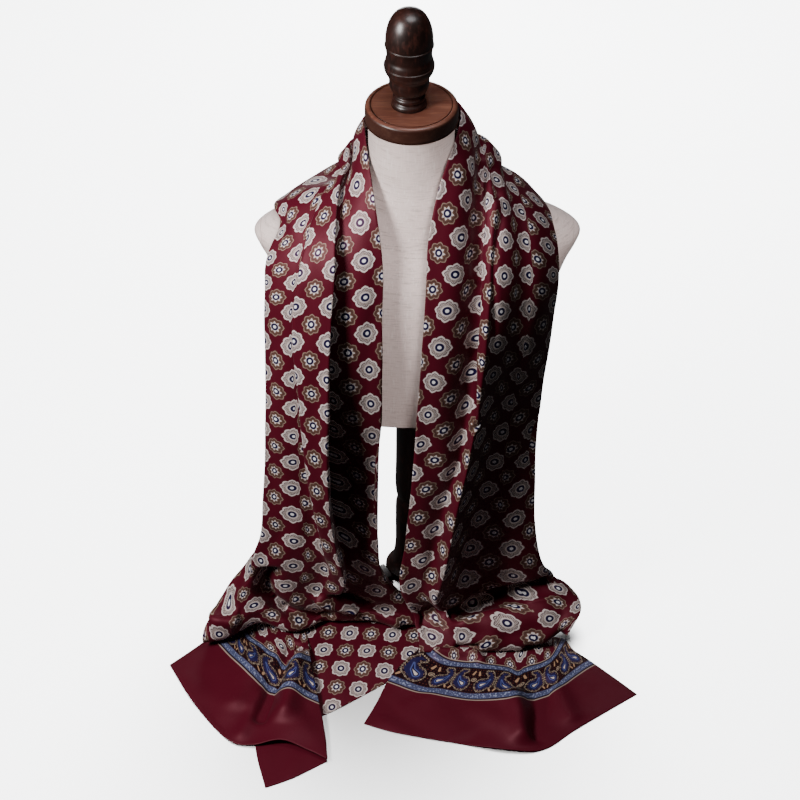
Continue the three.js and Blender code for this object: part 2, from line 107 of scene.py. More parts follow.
# One rib of cloth in each row, from the left landing over the shoulders to the right landing: its
# inner end (ix, iy, iz) and its outer end (ox, oy, oz).
RIBS = table("""
at  ix   iy  iz   ox   oy  oz
 0  -6  -84 4.2 -218  -88 4.2
 1  -3  -96 4.2 -228 -112 4.2
 2   1 -107 5.8 -238 -131 5.8
 3   3 -112  13 -243 -141  16
 4   1 -107  25 -242 -132  32
 5  -8 -101  42 -236 -118  48
 6 -24 -104  68 -222 -108  72
 7 -33 -111 106 -200 -106 106
 8 -36 -113 155 -181 -104 155
 9 -36 -112 220 -175 -100 220
10 -34 -112 290 -171  -94 290
11 -31 -112 360 -168  -86 355
12 -30 -111 430 -166  -76 412
13 -29 -105 490 -165  -66 462
14 -28  -95 536 -164  -58 496
15 -30  -82 572 -164  -48 520
16 -36  -61 607 -163  -33 539
17 -43  -34 636 -162  -15 551
18 -50    4 664 -160    4 557
19 -50   27 667 -143   44 546
20 -37   47 671 -100   74 540
21 -15   58 674  -40   88 540
22  15   58 677   40   88 541
23  38   47 680   98   74 543
24  52   26 681  141   38 552
25  50    2 668  154   -3 562
26  37  -34 650  158  -22 556
27  25  -58 620  162  -40 545
28  16  -80 576  164  -54 522
29  14  -94 536  164  -60 496
30  12 -106 490  161  -64 459
31   8 -113 430  157  -67 407
32   5 -114 360  152  -70 350
33   3 -114 290  149  -76 285
34  -2 -115 225  150  -80 225
35  -8 -116 160  152  -85 160
36 -13 -118 105  160  -88 105
37 -10 -119  70  174  -86  72
38   2 -121  44  190  -86  50
39  11 -127  26  200  -96  40
40  14 -136  16  206 -120  34
41  15 -146 7.5  204 -140  20
42  14 -150 2.8  196 -148   6
43  14 -142 2.4  190 -140 2.4
44  14 -128 2.4  186 -126 2.4
""")

# Where the folds across a rib lie: each one's share of the rib (…T) and its distance off it (…B).
FOLDS = table("""
at  lipT lipB faceT faceB dipT dipB ridgeT ridgeB foldT foldB tuckT tuckB midT midB rimT rimB
 0 -0.03    0  0.15     0 0.28    0   0.36      0  0.45     0  0.54     0 0.76    0 1.04    0
 2 -0.03    0  0.15     0 0.28    0   0.36      0  0.45     0  0.54     0 0.76    0 1.04    0
 3 -0.03    0  0.15     2 0.28    2   0.36      3  0.45     3  0.54     1 0.76    2 1.04    0
 4 -0.03   -3  0.15    -5 0.27   -4   0.35      2  0.43     4  0.53     0 0.74    4 1.04   -5
 5 -0.02   -7  0.15     6 0.27    4   0.34      9  0.42     8  0.51     3 0.72    5 1.04  -13
 6  0.00  -10  0.14     1 0.27   -3   0.32     17  0.40    12  0.46     4 0.70    6 1.02  -25
 7  0.03  -12  0.14    -4 0.28  -10   0.26     24  0.36    17  0.42     5 0.70    8 0.92  -32
 8  0.06  -12  0.18    -9 0.38  -22   0.32     31  0.44    24  0.47     6 0.70    9 0.78  -26
 9  0.08  -10  0.22   -12 0.46  -26  0.375     36  0.54    27  0.54     5 0.76    9 0.66  -13
10  0.10   -8  0.24    -5 0.49  -12    0.4     38  0.62    28  0.57     8 0.80    9 0.62   -6
11  0.12   -6  0.24     5 0.50    5  0.395     36  0.66    28  0.59    12 0.82   10 0.62    1
13  0.13   -5  0.23    10 0.51   14   0.35     31  0.70    28  0.61    15 0.84   13 0.64    5
15  0.12   -5  0.20     8 0.47   10   0.31     25  0.62    24  0.54    13 0.78   10 0.72    3
17  0.09  -10  0.16    -3 0.36  -13    0.3      0  0.49     1  0.44    -9 0.68    3 0.78   -3
18  0.08  -14  0.16    -8 0.33  -23  0.315    -11  0.43   -10  0.40   -21 0.64   -9 0.82  -11
19  0.09  -12  0.18    -5 0.37  -18   0.35     -6  0.50    -5  0.46   -15 0.72   -5 0.82   -9
20  0.10   -9  0.20    -3 0.41  -12   0.39     -1  0.58     0  0.53   -10 0.77    0 0.82   -7
22  0.10   -6  0.22     1 0.44   -8   0.41      3  0.62     2  0.56    -9 0.78    0 0.82   -7
24  0.10   -8  0.20    -1 0.38  -13   0.37     -1  0.53     0  0.58   -11 0.78    1 0.82   -6
25  0.10   -9  0.16    -3 0.30  -13   0.37     -4  0.50    -5  0.57   -12 0.77   -3 0.84   -8
26  0.11   -6  0.17     3 0.32   -8   0.41      8  0.52     5  0.60    -1 0.78    6 0.80    0
28  0.12   -5  0.18    11 0.35    2   0.42     27  0.58    25  0.66    17 0.81   19 0.74   11
30  0.13   -5  0.18    12 0.35    5   0.41     32  0.57    26  0.66    19 0.82   18 0.72   10
32  0.14   -6  0.20    12 0.39    6    0.4     31  0.56    14  0.66     8 0.82    8 0.70   -2
33  0.14   -7  0.18    11 0.36    7  0.365     31  0.53     8  0.65     3 0.80    5 0.68   -6
34  0.13   -9  0.15     9 0.29    6  0.315     33  0.50     2  0.64    -1 0.80    4 0.68  -12
35  0.10  -12  0.13     7 0.25    6   0.29     34  0.48    -3  0.62    -4 0.80    3 0.75  -19
36  0.06  -12  0.12     5  0.2    6  0.255     29  0.45    -6  0.60    -6 0.80    3 0.85  -23
37  0.02  -11  0.10     2 0.15    6    0.2     21  0.42    -6  0.60    -4 0.80    3 0.97  -19
38 -0.01   -8  0.10     1 0.14    4   0.18     13  0.42    -5  0.60    -1 0.82    4 1.03  -10
39 -0.02   -3  0.10     1 0.14    3   0.18      8  0.42     3  0.60     6 0.82    5 1.04   -3
40 -0.02    0  0.10     1 0.18    3   0.27      7  0.42    12  0.60    15 0.82    6 1.03   -1
41 -0.02    0  0.10     0 0.18    1   0.27      4  0.42     9  0.60    10 0.82    3 1.03    0
42 -0.02    0  0.10     0 0.18    0   0.27      0  0.42     0  0.60     0 0.82    0 1.03    0
44 -0.02    0  0.10     0 0.18    0   0.27      0  0.42     0  0.60     0 0.82    0 1.03    0
""")

FOLD_NAMES = ["lip", "inner", "face", "dip", "ridge", "fold", "tuck", "mid", "outer", "rim"]
# How far each side of a fold its bend reaches, mm, and the columns of mesh on the leg before it.
REACH = {"inner": 5, "face": 60, "dip": 6, "ridge": 4, "fold": 7, "tuck": 40, "mid": 60, "outer": 6}
LEG = {"inner": 5, "face": 7, "dip": 14, "ridge": 10, "fold": 10, "tuck": 8, "mid": 14, "outer": 14,
       "rim": 9}
BEND = 7                                 # columns of mesh round each bend


def rib_ends(station):
    """Inner and outer end of the straight rib at each station."""
    inner = np.stack([column(RIBS, name, station) for name in ("ix", "iy", "iz")], -1)
    outer = np.stack([column(RIBS, name, station) for name in ("ox", "oy", "oz")], -1)
    return inner, outer


def rib_corners(station):
    """The ten corners of the cloth's section: inner + T * rib + B * normal, where the normal is
    square to the rib and to the way in which the ribs' middles run."""
    inner, outer = rib_ends(station)
    top = RIBS["at"][-1]
    before = sum(rib_ends(np.maximum(station - 0.05, 0))) / 2
    after = sum(rib_ends(np.minimum(station + 0.05, top))) / 2
    rib = outer - inner
    normal = unit(np.cross(after - before, rib))
    corners = []
    for name in FOLD_NAMES:
        ends = {"inner": (0 * station, 0 * station), "outer": (0 * station + 1, 0 * station)}
        share, off = ends.get(name) or [column(FOLDS, name + end, station) for end in "TB"]
        corners.append(inner + rib * share[:, None] + normal * off[:, None])
    return np.stack(corners, 1)


def bent_line(corners):
    """The section as one line: straight legs, and at each corner the quadratic curve that starts
    and ends REACH away from it. Returns the points and the fractional corner number of each."""
    points, marks = [corners[:, :1]], [[0.0]]
    leave = corners[:, 0]
    for k in range(1, len(FOLD_NAMES) - 1):
        here, name = corners[:, k], FOLD_NAMES[k]
        ways = [corners[:, k + way] - here for way in (-1, 1)]
        start, end = (here + way * np.minimum(
            0.42, REACH[name] / np.linalg.norm(way, axis=1))[:, None] for way in ways)
        leg = np.linspace(0, 1, LEG[name] + 1)[1:-1, None]
        points.append(leave[:, None] + (start - leave)[:, None] * leg)
        marks.append(k - 1 + leg[:, 0])
        t = np.linspace(0, 1, BEND)[:, None]
        points.append(start[:, None] * (1 - t) ** 2 + here[:, None] * 2 * t * (1 - t)
                      + end[:, None] * t ** 2)
        marks.append(np.full(BEND, float(k)))
        leave = end
    leg = np.linspace(0, 1, LEG["rim"] + 1)[1:, None]
    points.append(leave[:, None] + (corners[:, -1] - leave)[:, None] * leg)
    marks.append(len(FOLD_NAMES) - 2 + leg[:, 0])
    return np.concatenate(points, 1), np.concatenate(marks)


def lengths(points, axis):
    """Length run along an axis of a grid of points, from its first row or column."""
    steps = np.linalg.norm(np.diff(points, axis=axis), axis=-1)
    pad = [(1, 0) if k == axis else (0, 0) for k in (0, 1)]
    return np.pad(np.cumsum(steps, axis=axis), pad)


# ---------------------------------------------------------------- shader helpers

def ink(code):
    """A colour from its sRGB hex code, as linear RGBA."""
    parts = [int(code[k:k + 2], 16) / 255 for k in (0, 2, 4)]
    return [c / 12.92 if c < 0.04045 else ((c + 0.055) / 1.055) ** 2.4 for c in parts] + [1.0]


class Signal:
    """A value socket in a node tree: sums, products and the functions below add Math nodes."""

    def __init__(self, tree, socket):
        self.tree, self.socket = tree, socket

    def math(self, operation, *others):
        node = self.tree.nodes.new("ShaderNodeMath")
        node.operation = operation
        for slot, value in zip(node.inputs, (self, *others)):
            if isinstance(value, Signal):
                self.tree.links.new(value.socket, slot)
            else:
                slot.default_value = value
        return Signal(self.tree, node.outputs[0])

    def __add__(self, other):
        return self.math("ADD", other)

    def __sub__(self, other):
        return self.math("SUBTRACT", other)

    def __mul__(self, other):
        return self.math("MULTIPLY", other)

    def __truediv__(self, other):
        return self.math("DIVIDE", other)

    def wrap(self):
        """Distance from the nearest whole number, from -0.5 to 0.5."""
        return (self + 0.5).math("FRACT") - 0.5

    def clamp(self):
        node = self.tree.nodes.new("ShaderNodeClamp")
        self.tree.links.new(self.socket, node.inputs[0])
        return Signal(self.tree, node.outputs[0])

    def below(self, edge, soft):
        """1 where the value is below the edge, with a step as wide as 'soft'."""
        return ((self * -1 + edge) / soft + 0.5).clamp()

    def between(self, low, high, soft):
        return self.below(high, soft) * (self.below(low, soft) * -1 + 1)


def distance(x, y):
    return (x * x + y * y).math("SQRT")


def paint(tree, base, layers):
    """A base colour with further colours laid over it, each through its own mask."""
    result = base
    for mask, colour in layers:
        node = tree.nodes.new("ShaderNodeMix")
        node.data_type = "RGBA"
        tree.links.new(mask.socket, node.inputs[0])
        for slot, value in ((node.inputs[6], result), (node.inputs[7], colour)):
            if isinstance(value, list):
                slot.default_value = value
            else:
                tree.links.new(value, slot)
        result = node.outputs[2]
    return result


def new_group(name, inputs, outputs):
    """An empty shader group with the named sockets; gives its tree, its input node and a writer."""
    tree = bpy.data.node_groups.new(name, "ShaderNodeTree")
    for title, kind in inputs.items():
        tree.interface.new_socket(title, in_out="INPUT", socket_type=kind)
    for title, kind in outputs.items():
        tree.interface.new_socket(title, in_out="OUTPUT", socket_type=kind)
    source = tree.nodes.new("NodeGroupInput")
    sink = tree.nodes.new("NodeGroupOutput")
    return tree, source, sink


def split(tree, vector):
    node = tree.nodes.new("ShaderNodeSeparateXYZ")
    tree.links.new(vector, node.inputs[0])
    return [Signal(tree, output) for output in node.outputs]


def join(tree, x, y, z=None):
    node = tree.nodes.new("ShaderNodeCombineXYZ")
    for slot, value in zip(node.inputs, (x, y, z)):
        if value is not None:
            tree.links.new(value.socket, slot)
    return node.outputs[0]


def noise(tree, vector, scale, detail=2.0, roughness=0.5):
    node = tree.nodes.new("ShaderNodeTexNoise")
    node.inputs["Scale"].default_value = scale
    node.inputs["Detail"].default_value = detail
    node.inputs["Roughness"].default_value = roughness
    tree.links.new(vector, node.inputs["Vector"])
    return Signal(tree, node.outputs[0])


def stretched(tree, vector, scale):
    """A vector with each axis multiplied, so that a texture on it runs along one way."""
    node = tree.nodes.new("ShaderNodeVectorMath")
    node.operation = "MULTIPLY"
    tree.links.new(vector, node.inputs[0])
    node.inputs[1].default_value = scale
    return node.outputs[0]


def relief(tree, height, strength, depth):
    """A bump normal from a height signal."""
    node = tree.nodes.new("ShaderNodeBump")
    node.inputs["Strength"].default_value = strength
    node.inputs["Distance"].default_value = depth
    tree.links.new(height.socket, node.inputs["Height"])
    return node.outputs[0]


def new_material(name, group, source, sockets, constants):
    """A Principled material fed by one shader group. source is 'uv' or 'Object'."""
    material = bpy.data.materials.new(name)
    material.use_nodes = True
    tree = material.node_tree
    shader = tree.nodes["Principled BSDF"]
    node = tree.nodes.new("ShaderNodeGroup")
    node.node_tree = group
    if source == "uv":
        place = tree.nodes.new("ShaderNodeUVMap")
        place.uv_map = "cloth"
        tree.links.new(place.outputs[0], node.inputs[0])
    else:
        place = tree.nodes.new("ShaderNodeTexCoord")
        tree.links.new(place.outputs["Object"], node.inputs[0])
    for output, slot in sockets.items():
        tree.links.new(node.outputs[output], shader.inputs[slot])
    for slot, value in constants.items():
        shader.inputs[slot].default_value = value
    return material


# ---------------------------------------------------------------- the printed silk

GROUND, FIELD = ink("4c0a1b"), ink("12040a")
IVORY, BEIGE, TAN, LINE = ink("d6c8c4"), ink("a08d82"), ink("5e4438"), ink("38262a")
NAVY, WHITE, STEEL, PALE_BLUE = ink("0e1138"), ink("f0eef2"), ink("434a69"), ink("8b92ae")
# How far each band of the end border lies from the hem, mm.
BORDER = {"hem": 64, "line": 65.4, "dark": 67, "stripe": 75.5, "field": 124, "stripe2": 132.5,
          "dark2": 134.2, "line2": 135.6}


def star(x, y, points, depth, lean=0.5):
    """Distance from a centre divided by the outline of a rosette of equal petals, so that the
    outline lies at 1. 'depth' is how far the notches between the petals lie in; 'lean' below 1
    gives round petals with sharp notches, and above 1 sharp petals with round notches."""
    turn = y.math("ARCTAN2", x) * (points / (2 * math.pi))
    tip = (turn.wrap().math("ABSOLUTE") * -2 + 1).math("POWER", lean)
    return distance(x, y) / (tip * depth + (1 - depth))


def medallions(u, v):
    """Two rosettes in turn on a square 40 mm lattice: an ivory one with rings of fine line work on
    the whole numbers, and a bronze one with a cream star on the halves."""
    x, y = u.wrap(), v.wrap()
    r = distance(x, y)
    fine = star(x, y, 24, 0.05)
    petals = star(x, y, 8, 0.25, 0.7) * 0.7 + fine * 0.2 + star(x, y, 4, 0.45, 0.9) * 0.1
    beads = (x * 150).math("SINE") * (y * 150).math("SINE")
    layers = [(petals.below(0.325, 0.016), IVORY), (petals.between(0.25, 0.272, 0.01), LINE),
              (petals.below(0.244, 0.012) * beads.below(0.1, 0.5), LINE),
              (petals.between(0.19, 0.205, 0.012), BEIGE),
              (r.below(0.15, 0.02), IVORY), (r.below(0.115, 0.014), NAVY), (r.below(0.048, 0.014), WHITE)]
    x, y = (u + 0.5).wrap(), (v + 0.5).wrap()
    r = distance(x, y)
    bronze = star(x, y, 8, 0.25, 0.7) * 0.75 + star(x, y, 24, 0.05) * 0.25
    cream = star(x, y, 8, 0.36, 1.2)
    layers += [(bronze.below(0.3, 0.02), TAN), (bronze.between(0.274, 0.288, 0.012), BEIGE),
               (bronze.between(0.215, 0.235, 0.01), LINE), (cream.below(0.18, 0.016), IVORY),
               (r.below(0.11, 0.014), NAVY), (r.below(0.047, 0.014), WHITE)]
    return layers


def drop(x, y, stations):
    """Signed distance, mm, from a bent drop: round-ended tapering strokes between stations of
    (x, y, radius)."""
    nearest = None
    for (x0, y0, r0), (x1, y1, r1) in zip(stations, stations[1:]):
        dx, dy = x1 - x0, y1 - y0
        t = (((x - x0) * dx + (y - y0) * dy) / (dx * dx + dy * dy)).clamp()
        here = distance(x - x0 - t * dx, y - y0 - t * dy) - (t * (r1 - r0) + r0)
        nearest = here if nearest is None else nearest.math("MINIMUM", here)
    return nearest


def paisleys(u, v):
    """Mirrored pairs of curled drops every 80 mm along the border, with leaves between the pairs.
    x is mm from the pair's mirror line and y mm up from the field's lower edge."""
    x = (u / 2).wrap().math("ABSOLUTE") * 80
    y = v * 40 - BORDER["stripe"]
    body = drop(x, y, [(22, 15.5, 12.5), (12.5, 19, 11), (9, 29, 7.6), (12, 39, 5.4), (19, 41, 3.6)])
    body = body - 0.6 + (x * 1.7).math("SINE") * (y * 1.7).math("SINE") * 1.2
    bulb = drop(x, y, [(22.5, 15, 5.2), (15, 19, 3.2), (10.5, 28, 1.4)])
    leaves = drop(x, y, [(36, 41, 1.6), (34, 35, 2.2)])
    leaves = leaves.math("MINIMUM", drop(x, y, [(3, 4, 1.2), (5, 7, 1.6)]))
    floret = distance(x - 39, y - 24) - 3.6
    dots = distance((x / 5).wrap() * 5, (y / 5).wrap() * 5)
    return [(dots.below(0.75, 0.5) * body.between(2.2, 40, 0.5), ink("6d3a2e")),
            (body.below(0, 0.6), ink("ab9884")), (body.below(-0.9, 0.5), FIELD),
            (body.between(-3.2, -2.1, 0.5) * dots.below(1.6, 0.6), ink("8a6e62")),
            (body.below(-3.4, 0.6), ink("1b1d46")), (bulb.below(0, 0.6), ink("4f5b92")),
            (bulb.below(-1.4, 0.6), NAVY), (bulb.below(-3.1, 0.6), IVORY),
            (leaves.below(0, 0.6), ink("b08a6c")), (floret.between(-1.2, 0, 0.5), ink("a8937f")),
            (floret.below(-2.4, 0.5), ink("a8937f"))]


TWILL = 0.9                              # the twill's ribs are this far apart, mm


def printed_silk():
    """The print on the cloth's own metres. Near the hem come a plain band and a border of drops
    between two blue stripes; rosettes on the ground colour fill the rest."""
    tree, source, sink = new_group("printed silk", {"Cloth": "NodeSocketVector"},
                                   {"Color": "NodeSocketColor", "Normal": "NodeSocketVector"})
    u, v, _ = split(tree, source.outputs[0])
    hem = v * 1000
    u, v = u / REPEAT, v / REPEAT
    fleck = noise(tree, join(tree, u * 14, v * 14), 1.0, 1.0)
    rosettes = paint(tree, GROUND, medallions(u, v))
    drops = paint(tree, FIELD, paisleys(u, v))
    b = BORDER
    bands = [(hem.below(b["line2"], 0.4), BEIGE), (hem.below(b["dark2"], 0.4), FIELD),
             (hem.below(b["stripe2"], 0.4), STEEL)]
    bands += [(hem.between(b["field"] + 1, b["stripe2"] - 1, 0.4) * fleck.below(0.42, 0.08), PALE_BLUE),
              (hem.below(b["field"], 0.4), drops), (hem.below(b["stripe"], 0.4), STEEL),
              (hem.between(b["dark"] + 1, b["stripe"] - 1, 0.4) * fleck.below(0.42, 0.08), PALE_BLUE),
              (hem.below(b["dark"], 0.4), FIELD), (hem.below(b["line"], 0.4), BEIGE),
              (hem.below(b["hem"], 0.4), GROUND)]
    tree.links.new(paint(tree, rosettes, bands), sink.inputs["Color"])
    twill = ((u + v) * (2 * math.pi * 40 / TWILL)).math("SINE")
    tree.links.new(relief(tree, twill, 0.25, 0.00006), sink.inputs["Normal"])
    return tree


SILK = new_material("silk", printed_silk(), "uv", {"Color": "Base Color", "Normal": "Normal"}, {
    "Roughness": 0.5, "Sheen Weight": 0.04, "Sheen Roughness": 0.4, "Specular IOR Level": 0.32,
    "Specular Tint": (1.0, 0.42, 0.5, 1.0)})


# ---------------------------------------------------------------- linen and wood

def linen_weave():
    """Plain weave on the object's own metres: two crossed sets of yarns 0.9 mm apart, uneven."""
    tree, source, sink = new_group("linen weave", {"Place": "NodeSocketVector"},
                                   {"Color": "NodeSocketColor", "Normal": "NodeSocketVector"})
    place = source.outputs[0]
    x, y, z = split(tree, place)
    slub_across = noise(tree, stretched(tree, place, (70, 70, 700)), 1.0, 3.0)
    slub_down = noise(tree, stretched(tree, place, (700, 700, 70)), 1.0, 3.0)
    level = (z * (2 * math.pi / 0.0011) + slub_across * 5).math("SINE")
    upright = ((x + y) * (2 * math.pi / 0.0011) + slub_down * 5).math("SINE")
    weave = level * upright
    cloud = noise(tree, place, 9.0, 3.0)
    colour = paint(tree, ink("d9c6c1"), [
        ((slub_across - 0.5).math("MULTIPLY", 3.4).clamp(), ink("ab9791")),
        ((slub_down - 0.53).math("MULTIPLY", 3.4).clamp(), ink("ece0db")),
        ((cloud - 0.45).math("MULTIPLY", 1.2).clamp(), ink("d0bfb9"))])
    tree.links.new(colour, sink.inputs["Color"])
    height = weave + slub_across * 2 + slub_down * 2
    tree.links.new(relief(tree, height, 0.5, 0.0002), sink.inputs["Normal"])
    return tree


def turned_wood(name, dark, streak, grain, painted_shade_below=None):
    """Stained wood: fine streaks and slower bands of colour. 'grain' is how many streaks there are
    to a metre along each axis. Below the height painted_shade_below the colour is darkened with
    painted shade, as on the cap's side, so that the cap's top stays lighter as if lit from above."""
    tree, source, sink = new_group(name, {"Place": "NodeSocketVector"},
                                   {"Color": "NodeSocketColor", "Normal": "NodeSocketVector",
                                    "Roughness": "NodeSocketFloat"})
    place = source.outputs[0]
    fine = noise(tree, stretched(tree, place, grain), 1.0, 5.0, 0.6)
    broad = noise(tree, stretched(tree, place, [k / 5 for k in grain]), 1.0, 2.0)
    colour = paint(tree, ink(dark), [((broad - 0.4).math("MULTIPLY", 2.0).clamp() * 0.5, ink(streak)),
                                     ((fine - 0.5).math("MULTIPLY", 5.0).clamp() * 0.6, ink(streak))])
    if painted_shade_below is None:
        tree.links.new(colour, sink.inputs["Color"])
    else:
        # painted shade: below this height the colour is darkened, so the side looks shaded and the top
        # lit
        side = split(tree, place)[2].below(painted_shade_below, 0.001)
        tree.links.new(paint(tree, colour, [(side * 0.72, ink("200e0a"))]), sink.inputs["Color"])
    tree.links.new((fine * 0.3 + 0.24).socket, sink.inputs["Roughness"])
    tree.links.new(relief(tree, fine, 0.12, 0.0003), sink.inputs["Normal"])
    return tree


BOTH = {"Color": "Base Color", "Normal": "Normal"}
LINEN = new_material("linen", linen_weave(), "Object", BOTH, {"Roughness": 0.9, "Sheen Weight": 0.1})
ALL_THREE = {**BOTH, "Roughness": "Roughness"}
WOOD = new_material("dark wood", turned_wood("dark wood grain", "1c0d09", "4a231b", (260, 260, 90)),
                    "Object", ALL_THREE, {"Coat Weight": 0.2, "Coat Roughness": 0.25})
# the cap's grain, with painted shade on its side below 698.5 mm and a lighter top as if lit
CAP_GRAIN_AND_SHADE = turned_wood("cap wood grain and painted shade", "5a3126", "8a5c48", (40, 500, 500), painted_shade_below=0.6985)
WOOD_CAP = new_material("cap wood", CAP_GRAIN_AND_SHADE, "Object", ALL_THREE,
                        {"Coat Weight": 0.05, "Coat Roughness": 0.4})


# ---------------------------------------------------------------- meshes

def add_object(name, points, faces, material, uv=None, smooth=True):
    """A mesh object from points in the tables' millimetres; uv holds one pair for each point."""
    mesh = bpy.data.meshes.new(name)
    mesh.from_pydata(((np.asarray(points) + AXIS) / 1000).tolist(), [], faces)
    if uv is not None:
        layer = mesh.uv_layers.new(name="cloth")
        corner = np.empty(len(mesh.loops), dtype=np.int32)
        mesh.loops.foreach_get("vertex_index", corner)
        layer.data.foreach_set("uv", np.asarray(uv, dtype=np.float32)[corner].ravel())
    mesh.shade_smooth() if smooth else mesh.shade_flat()
    mesh.materials.append(material)
    item = bpy.data.objects.new(name, mesh)
    bpy.context.scene.collection.objects.link(item)
    return item


def grid_faces(rows, columns, wrap=False):
    """The quads between neighbouring rows and columns of a grid of points."""
    i, j = np.meshgrid(np.arange(rows - 1), np.arange(columns if wrap else columns - 1), indexing="ij")
    k = (j + 1) % columns
    quads = np.stack([i * columns + j, i * columns + k, (i + 1) * columns + k, (i + 1) * columns + j], -1)
    return quads.reshape(-1, 4).tolist()


def grid_normals(points):
    """Unit normals of a grid of points, from its rows and columns."""
    return unit(np.cross(np.gradient(points, axis=0), np.gradient(points, axis=1)))


def bevel(item, width, segments=3, angle=30):
    modifier = item.modifiers.new("edges", "BEVEL")
    modifier.width = width
    modifier.segments = segments
    modifier.limit_method = "ANGLE"
    modifier.angle_limit = math.radians(angle)
    modifier.harden_normals = False


def cloth_object(name, points, uv):
    """A thin shell of silk round a grid of points."""
    rows, columns = points.shape[:2]
    item = add_object(name, points.reshape(-1, 3), grid_faces(rows, columns), SILK, uv.reshape(-1, 2))
    shell = item.modifiers.new("thickness", "SOLIDIFY")
    shell.thickness = CLOTH
    shell.offset = 0
    shell.use_even_offset = False
    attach(item, "root")
    return item


# ---------------------------------------------------------------- creases

def dents(x, y, strokes):
    """Soft troughs (depth below 0) and ridges along straight strokes, for points at (x, y).
    A stroke is (x0, y0, x1, y1, width, depth); it fades out over its last fifth at both ends."""
    total = np.zeros_like(x)
    for x0, y0, x1, y1, width, depth in strokes:
        length = math.hypot(x1 - x0, y1 - y0)
        along = ((x - x0) * (x1 - x0) + (y - y0) * (y1 - y0)) / length ** 2
        away = ((x - x0) * (y1 - y0) - (y - y0) * (x1 - x0)) / length
        fade = np.clip(np.minimum(along, 1 - along) / 0.2 + 0.5, 0, 1)
        total += depth * np.exp(-(away / width) ** 2) * fade * fade * (3 - 2 * fade)
    return total


def pushed(points, pushes):
    """Moves the cloth near some places: (x, y, z, radius, dx, dy, dz), fading out as a bell."""
    points = points.copy()
    for x, y, z, radius, dx, dy, dz in pushes:
        near = np.exp(-((points - (x, y, z)) ** 2).sum(-1) / radius ** 2)
        points += near[..., None] * np.array([dx, dy, dz])
    return points


def ripple(x, y, across, along, height, seed):
    """Low uneven waves: 14 sines whose wavelengths lie near 'across' in x and 'along' in y."""
    random = np.random.default_rng(seed)
    total = np.zeros_like(x)
    for _ in range(14):
        kx, ky = random.normal(0, 2 * math.pi / across), random.normal(0, 2 * math.pi / along)
        total += np.sin(kx * x + ky * y + random.uniform(0, 2 * math.pi))
    return total * height / math.sqrt(7)


# ---------------------------------------------------------------- the hanging scarf

# Where the print lies, in repeats of 40 mm: across (…U) and along (…V) at the inner face, at the
# front ridge and at the middle of the outer part. The cloth is cut on the straight, so U and V
# change slowly; where they jump, cloth is folded away behind.
PRINT = table("""
at faceU faceV ridgeU ridgeV midU  midV
 0 -1.05 -6.45   0.07  -6.68 2.30 -7.45
 2 -1.20 -5.81   0.07  -5.94 2.59 -6.46
 4 -1.19 -5.14   0.07  -5.20 2.59 -5.62
 6 -1.06 -3.96   0.07  -4.16 2.28 -4.50
 8 -1.34 -1.84   0.07  -1.95 2.03 -2.19
 9 -1.34 -0.25   0.07  -0.34 2.09 -0.57
10 -1.42  1.31   0.05   1.14 2.21  1.27
11 -1.52  2.73  -0.03   2.57 2.32  3.00
12 -1.58  4.12  -0.11   4.07 2.34  4.50
13 -1.66  5.33  -0.14   5.33 2.37  5.68
14 -1.75  6.36  -0.14   6.36 2.38  6.74
15 -1.80  7.29  -0.07   7.32 2.34  7.77
16 -1.92  8.23   0.05   8.30 2.29  8.79
17 -2.00  9.14   0.04   9.18 2.24  9.71
18 -2.04 10.05  -0.04  10.11 2.18 10.60
20 -2.11 11.86  -0.18  11.96 2.08 12.38
22 -2.19 13.68  -0.34  13.80 1.97 14.16
24 -2.26 15.50  -0.49  15.65 1.87 15.94
25 -2.30 16.41  -0.56  16.58 1.81 16.83
26 -2.31 17.30  -0.64  17.50 1.79 17.72
27 -2.27 18.22  -0.62  18.46 1.78 18.71
28 -2.16 19.30  -0.53  19.63 1.54 19.72
29 -2.04 20.30  -0.46  20.54 1.46 20.63
30 -1.86 21.35  -0.43  21.58 1.28 21.47
31 -1.72 22.60  -0.43  22.95 1.27 22.50
32 -1.58 24.00  -0.42  24.33 1.44 23.94
33 -1.38 25.54  -0.42  25.71 1.60 25.39
34 -1.29 26.97  -0.42  27.09 1.77 26.83
35 -1.22 28.36  -0.23  28.43 1.93 28.28
36 -0.95 29.58  -0.02  29.50 2.07 29.45
37 -0.81 30.32   0.19  30.10 2.12 30.17
38 -0.62 30.89   0.12  30.72 2.25 30.97
39 -0.60 31.38   0.08  31.23 2.40 31.78
40 -0.70 31.73   0.08  31.62 2.52 32.30
41 -0.71 32.05   0.09  31.98 2.58 32.72
42 -0.68 32.32   0.10  32.30 2.56 33.08
44 -0.64 32.81   0.10  32.82 2.45 33.65
""")


ROLLS = 7.5, 36.5                        # stations where the hanging cloth meets the two rolls


def print_places(station, marks, across, run):
    """UV in metres for every point of the hanging scarf: the table's places, carried across each
    zone by the length of the cloth itself. On the rolls the print goes on by the cloth's length."""
    held = np.clip(np.arange(len(station)), *(np.argmin(abs(station - roll)) for roll in ROLLS))
    ridge = np.where(marks == FOLD_NAMES.index("ridge"))[0]
    across = across - across[:, ridge[len(ridge) // 2], None]
    zones = {"face": 2, "ridge": 4, "mid": 7}
    slack = []
    for name, mark in zones.items():
        here = np.where(marks == mark)[0]
        slack.append((column(PRINT, name + "U", station) - across[:, here[len(here) // 2]] / 40)[held])
    places = [column(PRINT, name + "V", station) for name in zones]
    share_u = [np.interp(marks, [2, 4, 7], row) for row in np.eye(3)]
    share_v = [np.interp(marks, [2.3, 3.6, 5.0, 6.8], row)
               for row in ([1, 0, 0, 0], [0, 1, 1, 0], [0, 0, 0, 1])]
    u = across / 40 + sum(s[:, None] * w for s, w in zip(slack, share_u))
    v = sum(place[:, None] * w for place, w in zip(places, share_v))
    v = v[held] + (run - run[held]) / 40
    return np.stack([u + 20, v + 20], -1) * REPEAT


